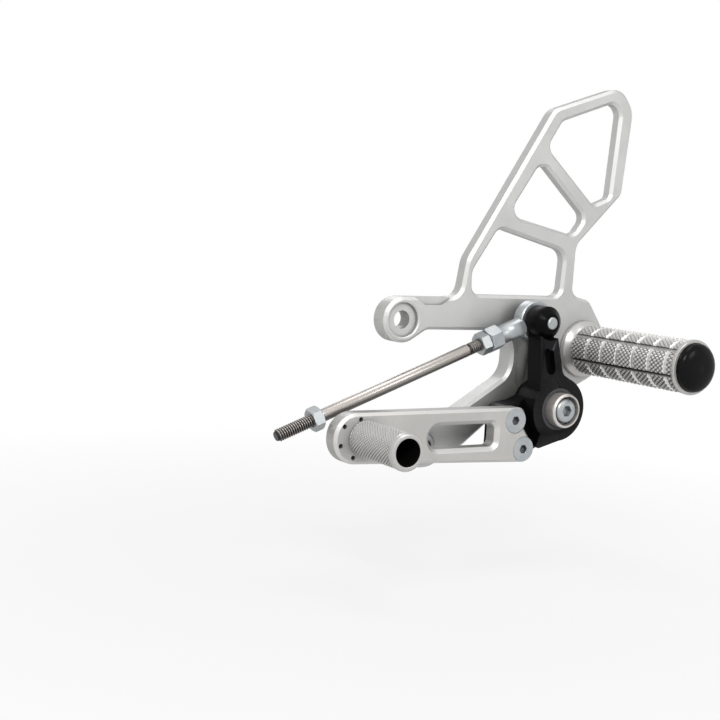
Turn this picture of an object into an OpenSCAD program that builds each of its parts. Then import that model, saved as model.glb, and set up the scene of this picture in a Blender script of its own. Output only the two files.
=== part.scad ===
// Motorcycle rear set footrest, gear-shift side.
// X runs to the rear of the motorcycle, Z up, and the outside of the bracket faces -Y.
// The origin is the centre of the upper frame-mount hole at the back of the bracket.
// "out" is a distance from the back face of the bracket towards the outside.

/* [Bracket] */
// Thickness of the bracket at its arm and bosses
bracket_t = 10; // [9:0.5:13]
// Thickness of the open upper frame, flush with the front face
frame_t = 7; // [5:0.5:8.5]
// Width of the chamfer along the front edges
edge_chamfer = 1.5; // [0.8:0.1:2]
// Radius of the upper frame-mount boss
boss_r = 11; // [10.4:0.2:12]
// Radius of the upper frame-mount hole
mount_hole_r = 4.4; // [4.1:0.1:4.8]
// Radius of the counterbore in the upper boss
boss_counterbore_r = 8.2; // [7:0.1:8.4]
// Depth of the counterbore in the upper boss
boss_counterbore_d = 2.2; // [1:0.2:4]
// Depth of the milled pocket beside the pivot
pocket_d = 4; // [2:0.5:6]
// Depth of the step milled along the top of the arm
ledge_d = 2; // [1:0.5:4]
// Place of the lower frame-mount boss along X
lower_boss_x = 14.5; // [13:0.5:17]
// Place of the lower frame-mount boss along Z
lower_boss_z = -60; // [-62:0.5:-58]
// Radius of the lower frame-mount boss
lower_boss_r = 12.5; // [11:0.5:13]
// Radius of the hole in the lower frame-mount boss
lower_hole_r = 3.3; // [3.2:0.1:3.6]

/* [Foot peg] */
// Place of the foot peg along X
peg_x = 112; // [110:0.5:114]
// Place of the foot peg along Z
peg_z = -14; // [-16:0.5:-12]
// Length of the foot peg
peg_len = 79.5; // [66:0.5:100]
// Radius over the knurl
peg_r = 13; // [12:0.1:14]
// Radius of the flange against the bracket
peg_flange_r = 14.7; // [14.2:0.1:15.5]
// Radius of the bore inside the peg
peg_bore_r = 8; // [7.2:0.1:9]
// Spacing of the ring grooves
groove_pitch = 11; // [9:0.5:13]
// Number of long grooves round the peg
groove_count = 6; // [4:1:10]
// Height of the domed end cap
cap_dome_h = 5; // [2:0.5:8]

/* [Pivot] */
// Place of the lever pivot along X
pivot_x = 79; // [78:0.5:80]
// Place of the lever pivot along Z
pivot_z = -41.5; // [-42.5:0.5:-40.5]
// Radius of the pivot journal inside the bearings
journal_r = 6; // [5.8:0.1:6.4]
// Outer radius of the two bearings
bearing_r = 10.5; // [10.4:0.1:11]
// Width of each bearing
bearing_w = 5; // [4.6:0.1:5.4]
// Radius of the bearing balls
ball_r = 1.2; // [1:0.05:1.25]
// Number of balls in each bearing
ball_count = 12; // [8:1:14]
// Running clearance between balls and races
race_gap = 0.05; // [0.02:0.01:0.1]
// Radius of the pivot collar's head
collar_r = 8.5; // [8.4:0.1:9.2]
// Length of the pivot collar's head
collar_h = 7.2; // [6.4:0.1:9]

/* [Shift hub] */
// Distance from the bracket's front to the hub's back face
hub_gap = 4; // [3.5:0.1:5]
// Length of the hub along the pivot
hub_len = 20; // [19.5:0.5:22]
// Radius of the hub round the pivot
hub_r = 16; // [15:0.2:17]
// Thickness of the crank arm
crank_t = 10.5; // [9:0.5:11]
// Distance from the pivot to the rod's bolt
crank_len = 43.5; // [42:0.5:45]
// Lean of the crank arm towards the front
crank_lean = 10.9; // [8:0.1:13]
// Radius of the crank's upper end
crank_end_r = 8; // [7.5:0.1:8.8]
// Thickness of the seat under the lever arm
seat_t = 10; // [8:0.5:10.5]

/* [Lever arm] */
// Thickness of the lever arm
lever_t = 8; // [7:0.5:9]
// Distance from the pivot to the centre of the lever's round end
lever_reach = 116.2; // [110:0.2:130]
// Radius of the lever's round end
lever_end_r = 11.5; // [11.3:0.1:12]
// Width of the chamfer round the lever's front
lever_chamfer = 1.4; // [0.6:0.1:1.6]
// Width of the bevel round the lever's window
window_bevel = 2; // [0.6:0.1:2.2]

/* [Toe peg] */
// Length of the toe peg
toe_len = 36; // [28:0.5:45]
// Radius of the toe peg
toe_r = 8.4; // [8:0.1:9]
// Radius of the toe peg's bore
toe_bore_r = 6.2; // [5:0.1:6.6]
// Offset of the toe peg from its screw
toe_offset = 3.9; // [3.4:0.1:4.2]
// Radius of the circle of adjusting holes
adjust_circle_r = 8.8; // [8.4:0.1:8.9]
// Number of adjusting holes
adjust_count = 6; // [4:1:8]
// Angle of the first adjusting hole
adjust_start = 80; // [76:1:84]
// Radius of each adjusting hole
adjust_hole_r = 1.1; // [0.8:0.05:1.2]

/* [Shift rod] */
// Slope of the shift rod below level
rod_slope = 20.6; // [18:0.1:23]
// Distance from the rod's bolt to the rod's free tip
rod_tip = 151; // [120:1:180]
// Radius of the shift rod
rod_r = 3; // [2.8:0.1:3.2]
// Distance from the bolt to the end of the rod end's shank
rod_end_len = 30; // [28:0.5:34]
// Radius of the rod end's eye
eye_r = 10; // [9.8:0.1:10.6]
// Width of the rod end's eye
eye_w = 6.8; // [6:0.2:7.4]
// Radius of the rod end's ball
eye_ball_r = 6.35; // [6.2:0.05:6.6]
// Width of the rod end's ball
eye_ball_w = 9; // [8.6:0.2:9.2]
// Radial clearance of the ball in its seat
eye_gap = 0.05; // [0.02:0.01:0.1]
// Width across the flats of the jam nuts
nut_flats = 10; // [9:0.5:11]
// Thickness of the jam nuts
nut_t = 5; // [3:0.5:6]
// Distance from the rod's tip to the lower jam nut
nut_from_tip = 18.5; // [10:0.5:30]

/* [Fasteners] */
// Radius of the large screws
big_screw_r = 4; // [3.7:0.1:4.1]
// Radius of the small screws
small_screw_r = 3; // [2.7:0.1:3.1]
// Clearance of a screw in its thread
thread_gap = 0.05; // [0.02:0.01:0.1]
// Clearance of a screw in a plain hole
hole_gap = 0.25; // [0.1:0.05:0.4]
// How much smaller a free thread is than its shank, in radius
thread_slack = 0.2; // [0.15:0.05:0.3]
// How far the lower frame bolt stands out behind the bracket
frame_bolt_reach = 18; // [12:1:30]
// Radius of the countersunk screws' heads
csk_head_r = 6.1; // [5.4:0.1:6.3]

/* [Hidden] */
$fn = 64;

eps = 0.5;
seat_gap = 0.02;
front = bracket_t;
frame_back = bracket_t - frame_t;
back_chamfer = edge_chamfer - 0.3;
boss = [0, 0];
pivot = [pivot_x, pivot_z];
peg = [peg_x, peg_z];
lower_boss = [lower_boss_x, lower_boss_z];

// Levels of the hub and lever, as distances out from the bracket's back
hub_back = front + hub_gap;
hub_front = hub_back + hub_len;
crank_back = hub_front - crank_t;
lever_back = hub_front - lever_t;
seat_back = lever_back - seat_t;

// Levels of the bearings inside the hub
seal_w = 0.8;
front_bearing = hub_front - seal_w - bearing_w - 0.2;
rear_bearing = hub_back + seal_w - 0.3;
inner_race_r = journal_r + 1.45;
outer_race_r = bearing_r - 1.45;
ball_circle_r = (inner_race_r + outer_race_r) / 2;

// The rod end's ball sits between the crank's back and the bolt's head
eye = pivot + crank_len * [-sin(crank_lean), cos(crank_lean)];
rod_out = crank_back - eye_ball_w / 2;
rod_bolt_head_h = 3.3;

// The lever's round end carries the toe peg
lever_end = pivot + [-lever_reach, -10.1];
toe_axis = lever_end + [toe_offset, 0.1];
toe_base = hub_front;
toe_solid = 12;
lever_screws = [pivot + [-26.4, -4.9], pivot + [-20.6, -19.2]];

// Rounds off a polygon: each corner is [x, z, radius], and arcs take 10-degree steps
function unit(v) = v / norm(v);
function corner_arc(before, corner, after, step = 10) =
    let (
        p = [corner.x, corner.y],
        a = unit([before.x, before.y] - p),
        b = unit([after.x, after.y] - p),
        half = acos(max(-1, min(1, a * b))) / 2,
        start = p + a * corner.z / tan(half),
        end = p + b * corner.z / tan(half),
        centre = p + unit(a + b) * corner.z / sin(half),
        from = atan2(start.y - centre.y, start.x - centre.x),
        to = atan2(end.y - centre.y, end.x - centre.x),
        turn = (to - from + 540) % 360 - 180,
        steps = max(2, ceil((180 - 2 * half) / step - 0.01))
    )
    [for (k = [0 : steps]) centre + corner.z * [cos(from + turn * k / steps), sin(from + turn * k / steps)]];
function rounded(corners) =
    let (n = len(corners))
    [for (i = [0 : n - 1]) each corner_arc(corners[(i + n - 1) % n], corners[i], corners[(i + 1) % n])];

// Moves a counter-clockwise outline of corners outwards by d, or inwards where d is negative
function grown(corners, d) =
    let (n = len(corners))
    [for (i = [0 : n - 1])
        let (
            c = corners[i],
            u = unit([c.x, c.y] - [corners[(i + n - 1) % n].x, corners[(i + n - 1) % n].y]),
            v = unit([corners[(i + 1) % n].x, corners[(i + 1) % n].y] - [c.x, c.y]),
            nu = [u.y, -u.x],
            nv = [v.y, -v.x],
            move = (nu + nv) * d / (1 + nu * nv),
            convex = u.x * v.y - u.y * v.x > 0
        )
        [c.x + move.x, c.y + move.y, max(0.05, c.z + (convex ? d : -d))]];

// A slab of a flat outline between two distances out
module slab(from, to) {
    rotate([90, 0, 0]) translate([0, 0, from]) linear_extrude(to - from) children();
}

// A round bar or hole along the out direction at a point [x, z]
module bar(at, r, from, to) {
    translate([at.x, 0, at.y]) rotate([90, 0, 0]) translate([0, 0, from]) cylinder(r = r, h = to - from);
}

// A turned shape about the out direction; its profile is [radius, out]
module turned(at) {
    translate([at.x, 0, at.y]) rotate([90, 0, 0]) rotate_extrude() children();
}

// A cone or countersink along the out direction
module cone(at, r1, r2, from, to) {
    translate([at.x, 0, at.y]) rotate([90, 0, 0]) translate([0, 0, from])
        cylinder(r1 = r1, r2 = r2, h = to - from);
}

// A solid through three outlines with as many points each, at growing distances out
module layered(rings, levels) {
    n = len(rings[0]);
    polyhedron(
        points = [for (k = [0 : 2]) each [for (p = rings[k]) [p.x, -levels[k], p.y]]],
        faces = concat(
            [[for (i = [0 : n - 1]) i]],
            [[for (i = [0 : n - 1]) 3 * n - 1 - i]],
            [for (k = [0, n], i = [0 : n - 1]) [k + i, k + n + i, k + n + (i + 1) % n, k + (i + 1) % n]]
        )
    );
}

// A plate whose front edge is chamfered all round
module chamfered_plate(corners, from, to, c) {
    over = 0.4;
    wide = rounded(grown(corners, over));
    intersection() {
        slab(from, to) polygon(rounded(corners));
        layered([wide, wide, rounded(grown(corners, -c - over))], [from - over, to - c - over, to + over]);
    }
}

// The cut that chamfers a window's back edge
module back_chamfer(corners, from, c) {
    under = 0.3;
    tight = rounded(grown(corners, -under));
    layered([rounded(grown(corners, c + 0.2)), tight, tight], [from - 0.2, from + c + under, from + c + 2 * under]);
}

// The cut of a window through a plate, with the window's front edge chamfered
module chamfered_window(corners, from, to, c) {
    under = 0.3;
    tight = rounded(grown(corners, -under));
    slab(from, to + eps) polygon(rounded(corners));
    layered([tight, tight, rounded(grown(corners, c + eps))], [to - c - 2 * under, to - c - under, to + eps]);
}

// A button head with a hex socket; base is its seat
module button_head(at, r, h, socket, base) {
    difference() {
        turned(at) polygon(concat(
            [[0, base], [r, base], [r, base + h * 0.18]],
            [for (a = [15 : 15 : 60]) [r - (r * 0.45) * (1 - cos(a)) * 1.6, base + h * 0.18 + h * 0.82 * sin(a * 1.5)]],
            [[0, base + h]]
        ));
        translate([at.x, 0, at.y]) rotate([90, 0, 0]) translate([0, 0, base + h * 0.35])
            cylinder(r = socket / sqrt(3), h = h, $fn = 6);
    }
}

// The bracket's outline, counter-clockwise from the lower boss
bracket_outline = [
    [lower_boss.x - lower_boss_r, lower_boss.y - lower_boss_r, lower_boss_r],
    [lower_boss.x + 5.5, lower_boss.y - lower_boss_r, lower_boss_r - 0.5],
    [lower_boss.x + 25.1, lower_boss.y - 2.4, 25],
    [pivot.x - 21.5, pivot.y - 7.5, 6],
    [pivot.x - 9, pivot.y - 13.5, 9],
    [pivot.x + 11.5, pivot.y - 13, 9],
    [pivot.x + 13, pivot.y - 1, 4],
    [peg.x + 17, peg.y - 11.4, 17.8],
    [peg.x + 17, peg.y + 6.5, 17.8],
    [peg.x + 3.6, peg.y + 25, 8],
    [103.8, 13.6, 5],
    [104.2, 39.6, 9],
    [132.3, 67.2, 6.5],
    [136.2, 110.4, 10.5],
    [126.8, 122.4, 10.5],
    [83.2, 106.8, 9],
    [35.4, 30.2, 12],
    [32.4, boss_r, 7.5],
    [-boss_r, boss_r, boss_r],
    [-boss_r, -boss_r, boss_r - 0.1],
    [boss_r * 0.3, -boss_r, boss_r - 0.1],
    [boss_r + 3, -4.6, 6],
    [66, -4.9, 12],
    [66, -26.9, 12],
    [lower_boss.x + 12, lower_boss.y + 9.8, 6],
    [lower_boss.x - lower_boss_r, lower_boss.y + 13.6, lower_boss_r - 2]
];

// The three windows of the upper frame
window_top = [[113.2, 60.6, 4], [123.8, 64.9, 3.5], [126.9, 108, 5], [123.4, 114, 5.5], [89.2, 101.4, 5], [80.6, 87.6, 5.5]];
window_middle = [[58.8, 52.8, 5.5], [101.4, 44.4, 5.5], [108.6, 54, 5], [80.4, 78, 2.5], [75.4, 77.6, 3.5]];
window_lower = [[39.6, 12.8, 4.5], [95.2, 12.8, 5], [96.5, 36, 6.5], [53.4, 46.2, 5], [38.8, 24.2, 9]];

// The bracket: one milled plate with bosses, windows, a pocket and a stepped arm
module bracket() {
    color([0.80, 0.80, 0.78])
    difference() {
        chamfered_plate(bracket_outline, 0, front, edge_chamfer);
        translate([-50, -frame_back, boss_r + 0.3]) cube([250, frame_back + eps, 150]);
        for (w = [window_top, window_middle, window_lower]) {
            chamfered_window(w, -eps, front, edge_chamfer);
            back_chamfer(w, frame_back, back_chamfer);
        }
        slab(front - ledge_d, front + eps) polygon(rounded([
            [boss_r + 0.3, 7.4, 1.5], [21.5, 7.4, 6], [30, 13, 4], [31.4, 21, 0.3], [24, 21, 0.3], [3, boss_r + 2, 0.3]
        ]));
        slab(front - pocket_d, front + eps) polygon(rounded([
            [pivot.x - 10, pivot.y + 8, 3.9], [pivot.x - 2, pivot.y + 8, 3.9], [82, -9, 5.5], [69.5, -6.8, 5.5], [69, -22, 10]
        ]));
        bar(boss, mount_hole_r, -eps, front + eps);
        bar(boss, boss_counterbore_r, front - boss_counterbore_d, front + eps);
        cone(boss, boss_counterbore_r - eps, boss_counterbore_r + 0.6 + eps, front - 0.6 - eps, front + eps);
        bar(lower_boss, lower_hole_r, -eps, front + eps);
        bar(pivot, big_screw_r + thread_gap, -eps, front + eps);
        bar(peg, big_screw_r + thread_gap, -eps, front + eps);
    }
}

// The foot peg: turned, grooved both ways, bored from the outer end
module foot_peg() {
    tip = front + peg_len;
    first = front + 6.5;
    rings = [for (s = [first + groove_pitch : groove_pitch : tip - 4]) s];
    color([0.78, 0.79, 0.80])
    difference() {
        turned(peg) polygon(concat(
            [[big_screw_r + hole_gap, front], [peg_flange_r - 0.5, front], [peg_flange_r, front + 0.5], [peg_flange_r, front + 2.2],
             [peg_flange_r - 0.6, front + 3], [peg_r - 0.8, front + 4.6], [peg_r - 1.2, front + 5.2], [peg_r - 1.2, first - 0.4], [peg_r - 0.4, first]],
            [for (s = rings) each [[peg_r, s - 1.3], [peg_r - 0.7, s - 0.6], [peg_r - 0.7, s + 0.6], [peg_r, s + 1.3]]],
            [[peg_r, tip - 2.6], [peg_r + 0.4, tip - 2.2], [peg_r + 0.4, tip - 0.4], [peg_r, tip],
             [peg_r - 1.2, tip], [peg_r - 1.3, tip - 2], [peg_bore_r, tip - 2], [peg_bore_r, front + 12], [big_screw_r + hole_gap, front + 12]]
        ));
        for (k = [0 : groove_count - 1])
            bar(peg + (peg_r + 0.25) * [cos(141 + 360 / groove_count * k), sin(141 + 360 / groove_count * k)],
                0.95, first - 2, tip - 2.7);
    }
}

// The bolt that holds the foot peg, with its head inside the peg
module peg_bolt() {
    color([0.62, 0.65, 0.68])
    difference() {
        union() {
            turned(peg) polygon([
                [0, front + 12], [6.5, front + 12], [6.5, front + 19.6], [6.1, front + 20], [0, front + 20]]);
            bar(peg, big_screw_r, 0.5, front + 12);
        }
        translate([peg.x, 0, peg.y]) rotate([90, 0, 0]) translate([0, 0, front + 16])
            cylinder(r = 6 / sqrt(3), h = 5, $fn = 6);
    }
}

// The domed plastic plug in the outer end of the foot peg
module peg_end_cap() {
    tip = front + peg_len;
    dome_r = peg_r - 1.4;
    color([0.04, 0.04, 0.045])
    turned(peg) polygon(concat(
        [[0, tip - 12], [peg_bore_r - 0.6, tip - 12], [peg_bore_r - 0.04, tip - 11], [peg_bore_r - 0.04, tip - 2],
         [dome_r, tip - 2]],
        [for (a = [0 : 6 : 84]) [dome_r * cos(a), tip + cap_dome_h * sin(a)]],
        [[0, tip + cap_dome_h]]
    ));
}

// The pivot collar: a headed journal that the bearings turn on
module pivot_collar() {
    head = hub_front + collar_h - 0.8;
    back = front_bearing + bearing_w;
    color([0.72, 0.71, 0.70])
    turned(pivot) polygon([
        [big_screw_r + hole_gap, front + 0.2], [journal_r, front + 0.2], [journal_r, back], [inner_race_r, back],
        [inner_race_r, back + 0.3], [collar_r, back + 0.3], [collar_r, head - 0.8], [collar_r - 0.8, head],
        [collar_r - 1.2, head], [collar_r - 1.3, head - 4.2], [big_screw_r + hole_gap, head - 4.2]
    ]);
}

// The screw that clamps the collar and inner races to the bracket
module pivot_screw() {
    base = hub_front + collar_h - 5;
    color([0.66, 0.70, 0.74]) {
        button_head(pivot, 6.6, 4.1, 5, base);
        difference() {
            bar(pivot, big_screw_r, 1, base);
            bar(pivot, 1.0, -eps, 1 + eps);
        }
    }
}

// The ring between the bracket and the rear inner race
module pivot_spacer() {
    color([0.70, 0.70, 0.70])
    turned(pivot) polygon([
        [journal_r + 0.05, front], [inner_race_r + 0.6, front], [inner_race_r + 0.6, rear_bearing - 1.2],
        [inner_race_r - 0.2, rear_bearing], [journal_r + 0.05, rear_bearing]
    ]);
}

// The tube between the two inner races
module bearing_spacer() {
    color([0.70, 0.70, 0.70])
    turned(pivot) polygon([
        [journal_r + 0.05, rear_bearing + bearing_w], [inner_race_r - 0.2, rear_bearing + bearing_w],
        [inner_race_r - 0.2, front_bearing], [journal_r + 0.05, front_bearing]
    ]);
}

// Bearing parts; each bearing starts at a distance out
module inner_race(from) {
    color([0.75, 0.76, 0.78])
    turned(pivot) difference() {
        translate([journal_r + 0.02, from]) square([inner_race_r - journal_r - 0.02, bearing_w]);
        translate([ball_circle_r, from + bearing_w / 2]) circle(r = ball_r + race_gap);
    }
}
module outer_race(from) {
    color([0.75, 0.76, 0.78])
    turned(pivot) difference() {
        translate([outer_race_r, from]) square([bearing_r - outer_race_r, bearing_w]);
        translate([ball_circle_r, from + bearing_w / 2]) circle(r = ball_r + race_gap);
    }
}
module balls(from) {
    color([0.85, 0.86, 0.88])
    for (k = [0 : ball_count - 1])
        translate([pivot.x + ball_circle_r * cos(360 / ball_count * k), -from - bearing_w / 2,
                   pivot.y + ball_circle_r * sin(360 / ball_count * k)])
            sphere(r = ball_r, $fn = 24);
}
module front_inner_race() { inner_race(front_bearing); }
module rear_inner_race() { inner_race(rear_bearing); }
module front_outer_race() { outer_race(front_bearing); }
module rear_outer_race() { outer_race(rear_bearing); }
module front_balls() { balls(front_bearing); }
module rear_balls() { balls(rear_bearing); }

// Rubber seals over the bearings
module front_seal() {
    color([0.05, 0.05, 0.05])
    turned(pivot) translate([collar_r + 0.3, front_bearing + bearing_w + 0.1])
        square([bearing_r - collar_r - 0.3, seal_w]);
}
module rear_seal() {
    color([0.05, 0.05, 0.05])
    turned(pivot) translate([inner_race_r + 0.9, rear_bearing - seal_w])
        square([bearing_r - inner_race_r - 0.9, seal_w]);
}

// The lower frame bolt and its washer
module lower_frame_bolt() {
    base = front + 1.6;
    color([0.66, 0.70, 0.74]) {
        button_head(lower_boss, 5.25, 3.3, 4, base);
        turned(lower_boss) polygon([
            [0, base + 0.1], [small_screw_r, base + 0.1], [small_screw_r, -0.2], [small_screw_r - thread_slack, -0.4],
            [small_screw_r - thread_slack, 0.6 - frame_bolt_reach], [small_screw_r - 0.7, -frame_bolt_reach], [0, -frame_bolt_reach]]);
    }
}
module lower_frame_washer() {
    color([0.70, 0.73, 0.76])
    turned(lower_boss) translate([small_screw_r + 0.2, front]) square([6 - small_screw_r - 0.2, 1.6]);
}

// The black hub: crank arm for the rod, bearing housing and seat for the lever arm
module shift_hub() {
    crank_outline = [
        [pivot.x - 13.4, pivot.y - 19.8, 1.5],
        [pivot.x + hub_r, pivot.y - 12.1, hub_r - 0.1],
        [pivot.x + hub_r, pivot.y + 9.6, hub_r - 0.1],
        [pivot.x + 1.1, pivot.y + 17.4, 5],
        [eye.x + 3.2, eye.y - 2, 0.5],
        [eye.x - 5.8, eye.y - 2, 0.5],
        [pivot.x - 12.4, pivot.y + 5, 10],
        [pivot.x - 9.2, pivot.y - 8, 7]
    ];
    seat_outline = [
        [pivot.x - 31.5, pivot.y - 23, 5],
        [pivot.x - 17, pivot.y - 25.6, 6],
        [pivot.x + 4, pivot.y - 15, 2],
        [pivot.x + 6, pivot.y + 8, 2],
        [pivot.x - 6.4, pivot.y + 8.4, 3],
        [pivot.x - 19, pivot.y + 2.9, 8],
        [pivot.x - 31.5, pivot.y + 1.2, 5]
    ];
    pocket_outline = [
        [pivot.x - 9.4, pivot.y + 19, 2.5], [pivot.x - 2.4, pivot.y + 13.4, 2.5],
        [pivot.x - 6.2, eye.y - 12.6, 2], [pivot.x - 12.4, eye.y - 12.2, 2]
    ];
    knob_h = 3.2;
    knob_face_r = small_screw_r + 1.4;
    color([0.05, 0.05, 0.055])
    difference() {
        union() {
            slab(crank_back, hub_front) polygon(rounded(crank_outline));
            bar(eye, crank_end_r, crank_back, hub_front);
            slab(seat_back, lever_back) polygon(rounded(seat_outline));
            bar(pivot, hub_r, lever_back - 6, hub_front);
            bar(pivot, bearing_r + 2.6, hub_back, hub_front);
        }
        slab(hub_front - 3, hub_front + eps) polygon(rounded(pocket_outline));
        bar(pivot, bearing_r, front_bearing, hub_front + eps);
        bar(pivot, bearing_r, hub_back - eps, rear_bearing + bearing_w);
        bar(pivot, bearing_r - 1.5, hub_back - eps, hub_front + eps);
        turned(eye) polygon([
            [crank_end_r, hub_front - knob_h], [crank_end_r + 0.6, hub_front - knob_h], [crank_end_r + 0.6, hub_front + eps],
            [knob_face_r, hub_front + eps], [knob_face_r, hub_front]]);
        bar(eye, small_screw_r + thread_gap, crank_back - eps, hub_front + eps);
        for (s = lever_screws)
            bar(s, small_screw_r + thread_gap, seat_back - eps, lever_back + eps);
    }
}

// The lever arm: chamfered plate with a bevelled window, countersinks and adjusting holes
module lever_arm() {
    outline = [
        [lever_end.x - lever_end_r, lever_end.y - lever_end_r, lever_end_r - 0.05],
        [lever_screws[1].x - 2, lever_screws[1].y - 6.4, 30],
        [lever_screws[1].x + 5.2, lever_screws[1].y - 6.8, 5.5],
        [lever_screws[1].x + 6.6, lever_screws[1].y + 1.5, 5],
        [lever_screws[0].x + 5.2, lever_screws[0].y - 3, 4],
        [lever_screws[0].x + 7, lever_screws[0].y + 6.2, 4],
        [lever_screws[0].x - 4, lever_end.y + lever_end_r, 25],
        [lever_end.x - lever_end_r, lever_end.y + lever_end_r, lever_end_r - 0.05]
    ];
    window_left = lever_end.x + 39.8;
    window_right = lever_screws[0].x - 11.4;
    window = [
        [window_left, lever_end.y - 7.2, 5.6], [window_right, lever_end.y - 7.2, 3],
        [window_right, lever_end.y + 4.1, 3], [window_left, lever_end.y + 4.1, 5.6]
    ];
    color([0.74, 0.73, 0.71])
    difference() {
        chamfered_plate(outline, lever_back, hub_front, lever_chamfer);
        chamfered_window(window, lever_back - eps, hub_front, window_bevel);
        for (s = lever_screws) {
            bar(s, small_screw_r + hole_gap, lever_back - eps, hub_front + eps);
            cone(s, small_screw_r + hole_gap, csk_head_r + 0.2, hub_front - csk_head_r + small_screw_r + hole_gap - 0.5, hub_front - 0.3);
            bar(s, csk_head_r + 0.2, hub_front - 0.3, hub_front + eps);
        }
        bar(lever_end, small_screw_r + hole_gap, lever_back - eps, hub_front + eps);
        bar(lever_end, 5.4, lever_back - eps, lever_back + 3.5);
        for (k = [0 : adjust_count - 1])
            bar(lever_end + adjust_circle_r * [cos(adjust_start + 360 / adjust_count * k), sin(adjust_start + 360 / adjust_count * k)],
                adjust_hole_r, lever_back - eps, hub_front + eps);
    }
}

// Countersunk screws that hold the lever arm on the hub
module lever_screw(at) {
    cone_h = csk_head_r - small_screw_r;
    color([0.66, 0.70, 0.74])
    difference() {
        union() {
            bar(at, csk_head_r, hub_front - 0.5, hub_front - 0.1);
            cone(at, small_screw_r, csk_head_r, hub_front - 0.5 - cone_h, hub_front - 0.5);
            bar(at, small_screw_r, seat_back + 1, hub_front - 0.5 - cone_h);
        }
        translate([at.x, 0, at.y]) rotate([90, 0, 0]) translate([0, 0, hub_front - 2.8])
            cylinder(r = 4 / sqrt(3), h = 3, $fn = 6);
    }
}
module lever_screw_upper() { lever_screw(lever_screws[0]); }
module lever_screw_lower() { lever_screw(lever_screws[1]); }

// The place of the pin that keys the toe peg to one of the adjusting holes
pin_angle = adjust_start - 360 / adjust_count;
pin_at = lever_end + adjust_circle_r * [cos(pin_angle), sin(pin_angle)];

// The toe peg: a knurled tube with an offset screw in its solid base
module toe_peg() {
    tip = toe_base + toe_len;
    color([0.72, 0.71, 0.69])
    difference() {
        turned(toe_axis) polygon([
            [0, toe_base], [toe_r - 0.7, toe_base], [toe_r, toe_base + 0.7], [toe_r, tip - 3], [toe_r + 0.1, tip - 2.6],
            [toe_r + 0.1, tip - 1.2], [toe_r - 0.3, tip - 0.4], [toe_r - 1.1, tip], [toe_bore_r + 0.3, tip],
            [toe_bore_r, tip - 0.4], [toe_bore_r, toe_base + toe_solid], [0, toe_base + toe_solid - 1]
        ]);
        bar(lever_end, small_screw_r + thread_gap, toe_base - eps, toe_base + toe_solid - 1.6);
        bar(pin_at, adjust_hole_r, toe_base - eps, toe_base + 4.5);
    }
}

// The screw behind the lever's round end that holds the toe peg
module toe_peg_screw() {
    head_h = 3.2;
    color([0.66, 0.70, 0.74])
    difference() {
        union() {
            bar(lever_end, 5.2, lever_back + 3.5 - head_h, lever_back + 3.5);
            bar(lever_end, small_screw_r, lever_back + 3.5, toe_base + toe_solid - 2.2);
        }
        translate([lever_end.x, 0, lever_end.y]) rotate([90, 0, 0]) translate([0, 0, lever_back])
            cylinder(r = 4 / sqrt(3), h = 2.2, $fn = 6);
    }
}

// The pin that keys the toe peg
module toe_peg_pin() {
    color([0.75, 0.76, 0.78])
    bar(pin_at, adjust_hole_r - 0.02, lever_back + 1, toe_base + 4.3);
}

// Puts children along the rod: local X runs from the eye to the free tip, local Y is inwards
module along_rod() {
    translate([eye.x, -rod_out, eye.y]) rotate([0, 180 - rod_slope, 0]) children();
}
module rod_bar(r, from, to) {
    translate([from, 0, 0]) rotate([0, 90, 0]) cylinder(r = r, h = to - from);
}

// The rod end: eye, neck and threaded shank with spanner flats
module rod_end() {
    flats = 11;
    color([0.68, 0.72, 0.75])
    along_rod() difference() {
        union() {
            rotate([90, 0, 0]) rotate_extrude() difference() {
                polygon([
                    [4, -eye_w / 2], [eye_r - 0.6, -eye_w / 2], [eye_r, -eye_w / 2 + 0.6],
                    [eye_r, eye_w / 2 - 0.6], [eye_r - 0.6, eye_w / 2], [4, eye_w / 2]
                ]);
                circle(r = eye_ball_r + eye_gap);
            }
            rod_bar(4.8, 8, rod_end_len - 5);
            intersection() {
                translate([rod_end_len - 7.5, 0, 0]) rotate([0, 90, 0]) cylinder(r = flats / sqrt(3), h = 7.5, $fn = 6);
                translate([rod_end_len, 0, 0]) rotate([0, -90, 0]) rotate_extrude() polygon([
                    [0, 0], [flats / 2, 0], [flats / 2 + 0.8, 0.5], [flats / 2 + 0.8, 6.9], [4.8, 7.5], [0, 7.5]]);
            }
        }
        rod_bar(rod_r + thread_gap, 13, rod_end_len + eps);
    }
}

// The ball that the bolt clamps to the crank
module rod_end_ball() {
    color([0.80, 0.81, 0.83])
    translate([eye.x, -rod_out, eye.y]) rotate([90, 0, 0]) difference() {
        intersection() {
            sphere(r = eye_ball_r);
            translate([0, 0, -eye_ball_w / 2]) cylinder(r = eye_ball_r + 1, h = eye_ball_w);
        }
        translate([0, 0, -eye_ball_w]) cylinder(r = small_screw_r + 0.03, h = 2 * eye_ball_w);
    }
}

// The bolt through the ball, screwed into the crank from behind
module rod_end_bolt() {
    head_back = rod_out - eye_ball_w / 2 - rod_bolt_head_h;
    color([0.66, 0.70, 0.74])
    difference() {
        union() {
            turned(eye) polygon([
                [0, head_back], [3.4, head_back], [4.8, head_back + 1], [5.2, head_back + 2.4],
                [5.2, head_back + rod_bolt_head_h], [0, head_back + rod_bolt_head_h]]);
            bar(eye, small_screw_r, head_back + rod_bolt_head_h, hub_front + 0.4);
            cone(eye, small_screw_r, small_screw_r - 0.6, hub_front + 0.4, hub_front + 1);
        }
        translate([eye.x, 0, eye.y]) rotate([90, 0, 0]) translate([0, 0, head_back - 1])
            cylinder(r = 4 / sqrt(3), h = 3, $fn = 6);
    }
}

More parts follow.
